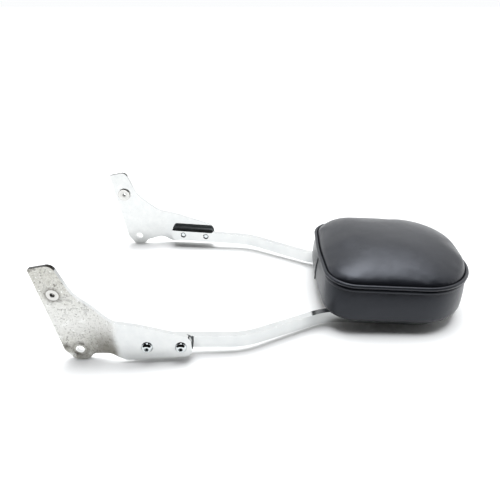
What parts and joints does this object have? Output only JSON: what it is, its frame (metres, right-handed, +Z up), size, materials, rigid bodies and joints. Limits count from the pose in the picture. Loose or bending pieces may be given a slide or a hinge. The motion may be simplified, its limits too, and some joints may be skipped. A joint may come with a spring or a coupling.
{
  "type": "sissy bar",
  "caption": "Motorcycle sissy bar with chrome side plates bolted to a bent flat-bar hoop and a padded black backrest.",
  "frame": {"origin": "middle of the bounding box at floor height, as it lies on its back with the pad on top", "axes": "+X from the mounting lugs towards the pad, +Y towards the motorcycle's right side, +Z up through the pad"},
  "size_m": [0.5402, 0.3178, 0.1333],
  "materials": {
    "chrome": "polished, dull and pitted at the mounting lugs",
    "screw_steel": "polished",
    "black_block": "matt",
    "strap_steel": "plain plated",
    "zinc": "zinc plated",
    "board": "bare plywood",
    "foam": "open-cell foam",
    "cover": "grained leatherette, satin"
  },
  "bodies": {
    "root": {"left_side_plate": "chrome", "right_side_plate": "chrome", "left_bush": "screw_steel", "right_bush": "screw_steel", "left_spacer": "black_block", "right_spacer": "black_block", "left_rear_arm_screw": "screw_steel", "left_front_arm_screw": "screw_steel", "right_rear_arm_screw": "screw_steel", "right_front_arm_screw": "screw_steel", "hoop": "chrome", "near_cross_strap": "strap_steel", "far_cross_strap": "strap_steel", "pad_screws": "zinc", "pad_screw_washers": "zinc", "pad_tee_nuts": "zinc", "pad_base_board": "board", "pad_foam": "foam", "pad_top_panel": "cover", "pad_side_band": "cover", "pad_piping": "cover"}
  },
  "joints": []
}
